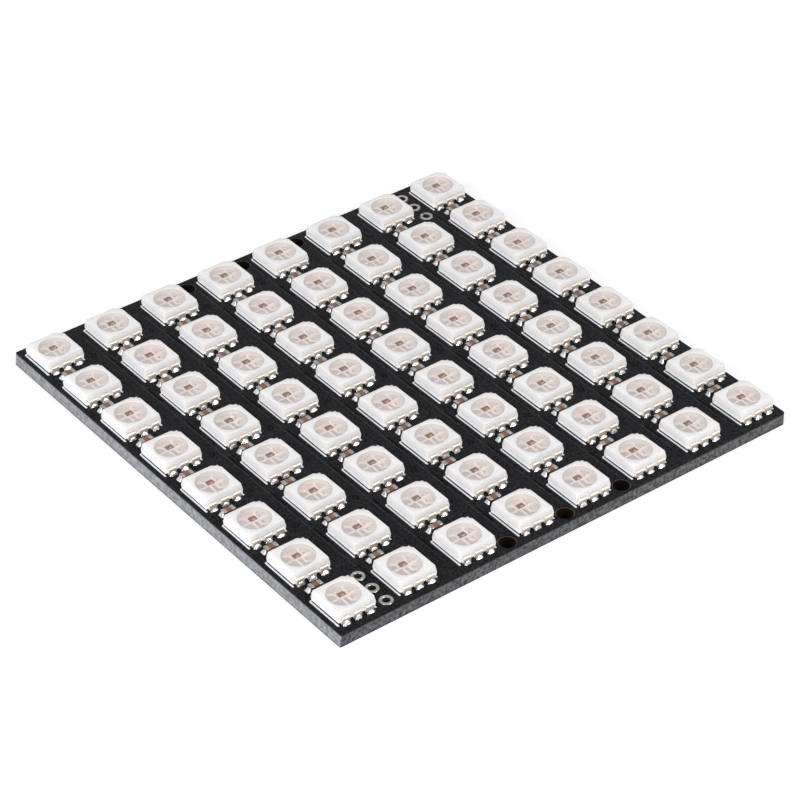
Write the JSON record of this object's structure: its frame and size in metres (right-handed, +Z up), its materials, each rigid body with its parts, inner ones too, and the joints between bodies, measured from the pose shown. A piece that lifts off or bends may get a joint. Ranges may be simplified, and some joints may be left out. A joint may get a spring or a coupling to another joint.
{
  "type": "rgb led matrix panel",
  "caption": "Square black circuit board with a grid of white addressable LED packages, plated header holes at two opposite corners and small mounting holes along two edges.",
  "frame": {"origin": "middle of the board's underside", "axes": "+Z up through the LED faces, +X along the front edge from left to right, +Y from the front edge to the back edge"},
  "size_m": [0.0636, 0.0652, 0.0033],
  "materials": {
    "black_solder_mask": "semi-gloss black mask over copper tracks",
    "board_edge": "sawn glass-fibre laminate, speckled grey",
    "led_housing": "satin white moulded body",
    "led_resin": "clear resin over a plated lead frame",
    "driver_chip": "bare silicon die, dark brown and orange",
    "tinned_metal": "tinned leads, solder and plated rings",
    "gold_bond_wire": "fine gold wire",
    "white_silkscreen": "printed white ink",
    "capacitor_ceramic": "brown fired ceramic"
  },
  "bodies": {
    "root": {"circuit_board": "black_solder_mask", "led_r1_c1": "led_housing", "led_r1_c2": "led_housing", "led_r1_c3": "led_housing", "led_r1_c4": "led_housing", "led_r1_c5": "led_housing", "led_r1_c6": "led_housing", "led_r1_c7": "led_housing", "led_r1_c8": "led_housing", "led_r2_c1": "led_housing", "led_r2_c2": "led_housing", "led_r2_c3": "led_housing", "led_r2_c4": "led_housing", "led_r2_c5": "led_housing", "led_r2_c6": "led_housing", "led_r2_c7": "led_housing", "led_r2_c8": "led_housing", "led_r3_c1": "led_housing", "led_r3_c2": "led_housing", "led_r3_c3": "led_housing", "led_r3_c4": "led_housing", "led_r3_c5": "led_housing", "led_r3_c6": "led_housing", "led_r3_c7": "led_housing", "led_r3_c8": "led_housing", "led_r4_c1": "led_housing", "led_r4_c2": "led_housing", "led_r4_c3": "led_housing", "led_r4_c4": "led_housing", "led_r4_c5": "led_housing", "led_r4_c6": "led_housing", "led_r4_c7": "led_housing", "led_r4_c8": "led_housing", "led_r5_c1": "led_housing", "led_r5_c2": "led_housing", "led_r5_c3": "led_housing", "led_r5_c4": "led_housing", "led_r5_c5": "led_housing", "led_r5_c6": "led_housing", "led_r5_c7": "led_housing", "led_r5_c8": "led_housing", "led_r6_c1": "led_housing", "led_r6_c2": "led_housing", "led_r6_c3": "led_housing", "led_r6_c4": "led_housing", "led_r6_c5": "led_housing", "led_r6_c6": "led_housing", "led_r6_c7": "led_housing", "led_r6_c8": "led_housing", "led_r7_c1": "led_housing", "led_r7_c2": "led_housing", "led_r7_c3": "led_housing", "led_r7_c4": "led_housing", "led_r7_c5": "led_housing", "led_r7_c6": "led_housing", "led_r7_c7": "led_housing", "led_r7_c8": "led_housing"}
  },
  "joints": []
}
